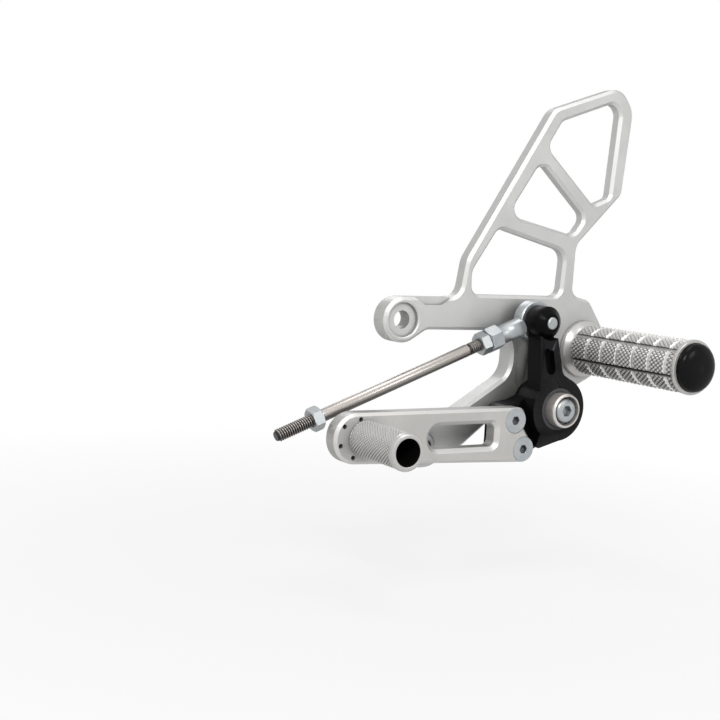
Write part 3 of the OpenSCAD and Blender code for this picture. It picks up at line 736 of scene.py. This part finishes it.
# joins rows of points that each run once round an axis; split says which diagonal a quad is cut on, if any
def ringFaces(rowCount, columnCount, split=None, closeLoop=False):
    faces = []
    last = rowCount if closeLoop else rowCount - 1
    for row in range(last):
        nextRow = (row + 1) % rowCount
        for column in range(columnCount):
            nextColumn = (column + 1) % columnCount
            a = row * columnCount + column
            b = row * columnCount + nextColumn
            c = nextRow * columnCount + nextColumn
            d = nextRow * columnCount + column
            cut = split(row, column) if split else None
            if cut is None:
                faces.append((a, b, c, d))
            elif cut:
                faces.append((a, b, c))
                faces.append((a, c, d))
            else:
                faces.append((a, b, d))
                faces.append((b, c, d))
    return faces


# how the four kinds of lattice point on a diamond knurl stand: share of the depth, and light mark, painted
# shade above 0 and painted highlight below 0
knurlPoints = {
    "pit": (1.0, 1.0),          # where two cuts cross
    "cut": (0.72, 0.46),        # halfway along a cut
    "flank": (0.30, -0.05),
    "crest": (0.0, -1.0),
}
knurlSteps = 4          # lattice steps from one crest to the next
leastShade = 0.12       # painted shade: no hollow is painted lighter than this
sameRadius = 0.00005    # metres, a row this close to the bore's radius belongs to the bore


def knurlKind(rowStep, columnStep):
    first = (rowStep + columnStep) % knurlSteps
    second = (rowStep - columnStep) % knurlSteps
    nearFirst = min(first, knurlSteps - first)
    nearSecond = min(second, knurlSteps - second)
    if nearFirst + nearSecond == 0:
        return "pit"
    if nearFirst + nearSecond == knurlSteps:
        return "crest"
    return "flank" if nearFirst == nearSecond else "cut"


# painted shade: a hollow that faces down is painted darker than one that faces up
def hollowShade(facingUp, settings):
    low, slope = settings["hollowShade"]
    return min(1.0, max(leastShade, low - slope * facingUp))


# the columns round a bar: (angle, knurl step or None, share across a long groove or None)
def barColumns(settings):
    columns = []
    steps = settings["crestsPerSector"] * knurlSteps
    if not settings["grooveCount"]:
        for step in range(steps):
            columns.append((2 * math.pi * step / steps, step, None))
        return columns
    half = settings["grooveWidth"] / 2 / settings["radius"]
    sector = 2 * math.pi / settings["grooveCount"]
    for groove in range(settings["grooveCount"]):
        middle = math.radians(settings["grooveAngle"]) + sector * groove
        for step in range(1, settings["grooveSteps"]):
            share = step / settings["grooveSteps"]
            columns.append((middle - half + 2 * half * share, None, share))
        for step in range(steps + 1):
            columns.append((middle + half + (sector - 2 * half) * step / steps, step, None))
    return columns


# rows of a bar's outline: drops below a radius and distances from a place outwards
def outlineRows(outline, radius, place):
    return [(radius - drop, place + along, None) for drop, along in outline]


# a knurled bar along the outward direction; each row is (radius, place outwards, knurl step or None)
def knurledBar(settings, leadIn, knurlRows, leadOut):
    columns = barColumns(settings)
    radius = settings["radius"]
    depth = settings["knurlDepth"]
    centreX, centreZ = settings["centre"]
    grooveFrom, grooveTo = settings["grooveSpan"]
    points = []
    paintedLightMarks = []
    kinds = []
    for rowRadius, out, rowStep in leadIn + knurlRows + leadOut:
        line = []
        for angle, columnStep, share in columns:
            r = rowRadius
            # painted highlight on the plain rows between the knurl zones
            mark = settings["bandHighlight"] if grooveFrom < out < grooveTo and rowStep is None else 0.0
            kind = None
            # painted shade deep in the bore
            if rowRadius < settings["boreRadius"] + sameRadius and out > settings["boreFrom"]:
                mark = 1.0
            if rowStep is not None and columnStep is not None:
                kind = knurlKind(rowStep, columnStep)
                # painted shade in the knurl's hollows and painted highlight on its crests
                deep, mark = knurlPoints[kind]
                r = rowRadius - depth * deep
                if mark > 0:
                    mark *= hollowShade(math.sin(angle), settings)
                # painted shade on the bar's lower side
                mark = min(1.0, mark + settings["underShade"] * max(0.0, -math.sin(angle)))
            if share is not None and grooveFrom < out < grooveTo:
                lean = math.radians(settings["grooveLean"]) * math.cos(math.pi * share)
                sunk = settings["grooveDepth"] * math.sin(math.pi * share) + settings["grooveEdge"]
                r = min(r, radius - sunk)
                # painted shade on the long grooves' walls that face down
                level, slope = settings["grooveShade"]
                mark = min(1.0, max(0.0, level - slope * math.sin(angle + lean)))
            paintedLightMarks.append(mark)
            points.append((centreX + r * math.cos(angle), -out, centreZ + r * math.sin(angle)))
            line.append(kind)
        kinds.append(line)
    count = len(columns)

    def split(row, column):
        if row + 1 >= len(kinds):
            return None
        corners = [kinds[row][column], kinds[row][(column + 1) % count]]
        corners += [kinds[row + 1][(column + 1) % count], kinds[row + 1][column]]
        if None in corners:
            return None
        straight = corners[0] != "flank"
        return straight if "pit" in corners else not straight

    return points, ringFaces(len(kinds), count, split, closeLoop=True), paintedLightMarks


footPeg = {
    "centre": places["peg"],
    "plateFace": 0.010,
    "length": 0.0795,
    "radius": 0.013,
    "flangeRadius": 0.0147,
    # outlines: drop below a radius, distance outwards from the plate face, the knurl's start or the tip
    "flangeOutline": [
        (0.0005, 0.0), (0.00015, 0.00015), (0.0, 0.0005),
        (0.0, 0.0022), (0.00015, 0.0026), (0.0006, 0.0030),
    ],
    "neckOutline": [(0.0008, 0.0046), (0.0012, 0.0052)],
    "shoulderOutline": [(0.0012, -0.0004), (0.0005, 0.0)],
    "knurlStart": 0.0065,
    "knurlLead": 0.0001,
    "knurlDepth": 0.0008,
    "crestPitch": 0.0031,       # from crest to crest along the peg
    "crestsPerSector": 5,
    "ringPitch": 0.011,
    "ringWidth": 0.0025,
    # share of half the width, depth
    "ringOutline": [(-0.8, 0.0005), (-0.5, 0.0007), (0.5, 0.0007), (0.8, 0.0005)],
    "lastRingRoom": 0.004,      # no ring is cut nearer to the tip
    "grooveAngle": 141.0,       # degrees
    "grooveCount": 6,
    "grooveWidth": 0.0023,
    "grooveDepth": 0.0009,
    "grooveEdge": 0.0001,       # step down at a groove's two edges
    "grooveLead": 0.0002,       # the long grooves start this far before the knurl
    "grooveSteps": 6,
    "grooveLean": 55.0,         # degrees, how far a groove's wall leans
    # painted shade: on the long grooves' walls, in the knurl's hollows and on the lower side
    "grooveShade": (0.75, 1.1),
    "hollowShade": (1.0, 0.85),
    "underShade": 0.55,
    "bandHighlight": -0.8,           # painted highlight on the ring grooves
    "rimWidth": 0.0022,
    "rimOutline": [
        (0.0003, -0.0021), (-0.0001, -0.0019), (-0.0002, -0.0017), (-0.0002, -0.0007),
        (0.0, -0.0002), (0.0001, 0.0), (0.0012, 0.0), (0.0013, -0.0002),
    ],
    "capSeatWall": 0.0013,
    "capSeat": 0.0020,          # how deep the end cap sits in the end of the peg
    "boreRadius": 0.008,
    "boltRadius": 0.00425,
    "boreStart": 0.012,
    "boreFrom": 0.02,           # further out than this the bore is painted dark as shade
    "smoothAngle": 24.0,        # degrees
}


def footPegRows(peg):
    face = peg["plateFace"]
    tip = face + peg["length"]
    full = peg["radius"]
    start = face + peg["knurlStart"]
    leadIn = [(peg["boltRadius"], face, None)]
    leadIn += outlineRows(peg["flangeOutline"], peg["flangeRadius"], face)
    leadIn += outlineRows(peg["neckOutline"], full, face)
    leadIn += outlineRows(peg["shoulderOutline"], full, start)
    ringHalf = peg["ringWidth"] / 2
    rings = []
    ring = start + peg["ringPitch"]
    while ring < tip - peg["lastRingRoom"]:
        rings.append(ring)
        ring += peg["ringPitch"]
    knurl = []
    zoneStart = start + peg["knurlLead"]
    for stop in rings + [tip - peg["rimWidth"] + ringHalf]:
        zoneEnd = stop - ringHalf
        steps = knurlSteps * max(1, round((zoneEnd - zoneStart) / peg["crestPitch"]))
        for step in range(steps + 1):
            knurl.append((full, zoneStart + (zoneEnd - zoneStart) * step / steps, step))
        if stop in rings:
            for share, drop in peg["ringOutline"]:
                knurl.append((full - drop, stop + ringHalf * share, None))
        zoneStart = stop + ringHalf
    leadOut = outlineRows(peg["rimOutline"], full, tip)
    leadOut += [
        (full - peg["capSeatWall"], tip - peg["capSeat"], None),
        (peg["boreRadius"], tip - peg["capSeat"], None),
        (peg["boreRadius"], face + peg["boreStart"], None),
        (peg["boltRadius"], face + peg["boreStart"], None),
    ]
    return leadIn, knurl, leadOut


def buildFootPeg():
    start = footPeg["plateFace"] + footPeg["knurlStart"]
    end = footPeg["plateFace"] + footPeg["length"] - footPeg["rimWidth"]
    settings = dict(footPeg, grooveSpan=(start - footPeg["grooveLead"], end))
    points, faces, paintedLightMarks = knurledBar(settings, *footPegRows(footPeg))
    piece = addPiece(
        "knurledFootPeg", points, faces, paintedLightMarks,
        brightPeg, "frame", footPeg["smoothAngle"],
    )
    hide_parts("foot_peg")


buildFootPeg()
print("foot peg is knurled")


endCap = {
    "plugLength": 0.012,
    "plugGap": 0.00004,
    "plugBevel": (0.0006, 0.001),   # across, along
    "wall": 0.0012,         # straight wall before the dome starts
    "fullness": 0.72,       # 1 is a plain elliptic dome, less is squarer at the shoulder
    "rings": 20,
    "sides": 72,
    "axisRadius": 0.0002,
    "smoothAngle": 40.0,    # degrees
}


def buildEndCap():
    low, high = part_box("peg_end_cap")
    middleX = (low[0] + high[0]) / 2
    middleZ = (low[2] + high[2]) / 2
    widest = (high[0] - low[0]) / 2
    pegTip = footPeg["plateFace"] + footPeg["length"]
    shoulder = pegTip + endCap["wall"]
    rise = -low[1] - shoulder
    plug = footPeg["boreRadius"] - endCap["plugGap"]
    plugEnd = pegTip - endCap["plugLength"]
    seat = pegTip - footPeg["capSeat"]
    bevelAcross, bevelAlong = endCap["plugBevel"]
    profile = [
        (endCap["axisRadius"], plugEnd),
        (plug - bevelAcross, plugEnd),
        (plug, plugEnd + bevelAlong),
        (plug, seat),
        (widest, seat),
        (widest, shoulder),
    ]
    for ring in range(1, endCap["rings"]):
        turn = math.pi / 2 * ring / endCap["rings"]
        r = widest * math.cos(turn) ** endCap["fullness"]
        profile.append((r, shoulder + rise * math.sin(turn)))
    profile.append((endCap["axisRadius"], shoulder + rise))
    points = []
    for r, out in profile:
        for side in range(endCap["sides"]):
            angle = 2 * math.pi * side / endCap["sides"]
            points.append((middleX + r * math.cos(angle), -out, middleZ + r * math.sin(angle)))
    faces = ringFaces(len(profile), endCap["sides"], closeLoop=True)
    paintedLightMarks = [0.0] * len(points)
    piece = addPiece(
        "domedEndCap", points, faces, paintedLightMarks,
        glossCap, "frame", endCap["smoothAngle"],
    )
    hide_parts("peg_end_cap")


buildEndCap()
print("end cap is domed")


toePeg = {
    "centre": places["toe"],
    "base": 0.034,
    "length": 0.036,
    "radius": 0.0084,
    "baseOutline": [(0.0007, 0.0), (0.0002, 0.0003), (0.0001, 0.0010)],
    "knurlStart": 0.0012,
    "knurlDepth": 0.0005,
    "crestPitch": 0.0021,       # from crest to crest along the peg
    "crestsPerSector": 34,
    "grooveCount": 0,
    "grooveSpan": (0.0, 0.0),
    "bandHighlight": 0.0,
    # painted shade in the knurl's hollows and on the lower side
    "hollowShade": (0.62, 0.62),
    "underShade": 0.35,
    "lip": 0.003,
    "lipStartOutline": [(0.0002, 0.0002), (0.0, 0.0004), (-0.0001, 0.0007)],
    "lipEndOutline": [
        (-0.0001, -0.0012), (0.00002, -0.0007), (0.0003, -0.0003),
        (0.0007, -0.00008), (0.0010, 0.0),
    ],
    "mouthOutline": [(-0.0004, 0.0), (-0.0001, -0.0001), (0.0, -0.0004)],
    "boreRadius": 0.0062,
    "boreFloor": 0.012,
    "boreCone": 0.001,
    "boreFrom": 0.040,          # further out than this the bore is painted dark as shade
    "axisRadius": 0.0004,
    "smoothAngle": 22.0,        # degrees
}


def toePegRows(peg):
    base = peg["base"]
    tip = base + peg["length"]
    full = peg["radius"]
    floor = base + peg["boreFloor"]
    leadIn = [(peg["axisRadius"], base, None)]
    leadIn += outlineRows(peg["baseOutline"], full, base)
    zoneStart = base + peg["knurlStart"]
    zoneEnd = tip - peg["lip"]
    steps = knurlSteps * round((zoneEnd - zoneStart) / peg["crestPitch"])
    knurl = [(full, zoneStart + (zoneEnd - zoneStart) * step / steps, step) for step in range(steps + 1)]
    leadOut = outlineRows(peg["lipStartOutline"], full, zoneEnd)
    leadOut += outlineRows(peg["lipEndOutline"], full, tip)
    leadOut += outlineRows(peg["mouthOutline"], peg["boreRadius"], tip)
    leadOut += [
        (peg["boreRadius"], floor, None),
        (peg["axisRadius"], floor - peg["boreCone"], None),
    ]
    return leadIn, knurl, leadOut


def buildToePeg():
    points, faces, paintedLightMarks = knurledBar(toePeg, *toePegRows(toePeg))
    piece = addPiece(
        "knurledToePeg", points, faces, paintedLightMarks,
        brightToePeg, "lever", toePeg["smoothAngle"],
    )
    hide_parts("toe_peg")


buildToePeg()
print("toe peg is knurled")


shiftRod = {
    "eye": (0.070774, -0.019, 0.001215),
    "slope": 20.6,              # degrees below level, towards the front
    "radius": 0.003,
    "start": 0.014,
    "tip": 0.151,
    "upperThreadEnd": 0.0415,
    "lowerThreadStart": 0.127,
    "pitch": 0.00115,
    # share of a pitch, share of the depth
    "threadProfile": [(0.0, 1.0), (0.125, 1.0), (0.5, 0.0), (0.625, 0.0)],
    "threadDepth": 0.0006,
    "threadFade": 0.0006,       # length over which a thread runs out
    # drop below the radius, distance from the thread
    "shoulderOutline": [(0.0001, 0.0005), (0.0, 0.0008)],
    "tipBevel": (0.0003, 0.0006),   # across, along
    "axisRadius": 0.0001,
    "underShade": 0.62,         # painted shade: the rod is darker below
    "underSpread": (0.55, 1.6),
    "sides": 40,
    "smoothAngle": 30.0,        # degrees
}


# a threaded stretch: its rows climb along a helix, are held inside the two ends and run out there
def threadRows(rod, start, end):
    rows = []
    fade = rod["threadFade"]
    turns = math.ceil((end - start) / rod["pitch"]) + 1
    for turn in range(-1, turns):
        for share, height in rod["threadProfile"]:
            row = []
            for side in range(rod["sides"]):
                along = start + (turn + share + side / rod["sides"]) * rod["pitch"]
                near = min(1.0, max(0.0, (along - start) / fade), max(0.0, (end - along) / fade))
                r = rod["radius"] - rod["threadDepth"] * (1.0 - height * near)
                row.append((r, min(end, max(start, along))))
            rows.append(row)
    return rows


def plainRow(rod, radius, along):
    return [(radius, along)] * rod["sides"]


def shiftRodRows(rod):
    radius = rod["radius"]
    core = radius - rod["threadDepth"]
    bevelAcross, bevelAlong = rod["tipBevel"]
    rows = [plainRow(rod, rod["axisRadius"], rod["start"])]
    rows.append(plainRow(rod, core, rod["start"]))
    rows += threadRows(rod, rod["start"], rod["upperThreadEnd"])
    rows.append(plainRow(rod, core, rod["upperThreadEnd"]))
    for drop, away in rod["shoulderOutline"]:
        rows.append(plainRow(rod, radius - drop, rod["upperThreadEnd"] + away))
    for drop, away in reversed(rod["shoulderOutline"]):
        rows.append(plainRow(rod, radius - drop, rod["lowerThreadStart"] - away))
    rows.append(plainRow(rod, core, rod["lowerThreadStart"]))
    rows += threadRows(rod, rod["lowerThreadStart"], rod["tip"] - bevelAlong)
    rows.append(plainRow(rod, core, rod["tip"] - bevelAlong))
    rows.append(plainRow(rod, core - bevelAcross, rod["tip"]))
    rows.append(plainRow(rod, rod["axisRadius"], rod["tip"]))
    return rows


# each ridge of the threads steps back by one pitch at the seam, which faces the plate
def buildShiftRod():
    rod = shiftRod
    rows = shiftRodRows(rod)
    slope = math.radians(rod["slope"])
    forward = Vector((-math.cos(slope), 0.0, -math.sin(slope)))
    inward = Vector((0.0, 1.0, 0.0))
    across = forward.cross(inward)
    eye = Vector(rod["eye"])
    level, lean = rod["underSpread"]
    points = []
    paintedLightMarks = []
    for row in rows:
        for side, (r, along) in enumerate(row):
            angle = 2 * math.pi * side / rod["sides"]
            turned = inward * math.cos(angle) + across * math.sin(angle)
            # painted shade on the rod's lower side and in the thread's valleys
            below = rod["underShade"] * min(1.0, max(0.0, level - lean * turned.z))
            paintedLightMarks.append(min(1.0, (rod["radius"] - r) / rod["threadDepth"] + below))
            points.append(eye + forward * along + turned * r)
    faces = ringFaces(len(rows), rod["sides"])
    piece = addPiece(
        "threadedShiftRod", points, faces, paintedLightMarks,
        drawnRod, "rod", rod["smoothAngle"],
    )
    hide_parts("shift_rod")


buildShiftRod()
print("shift rod is threaded")
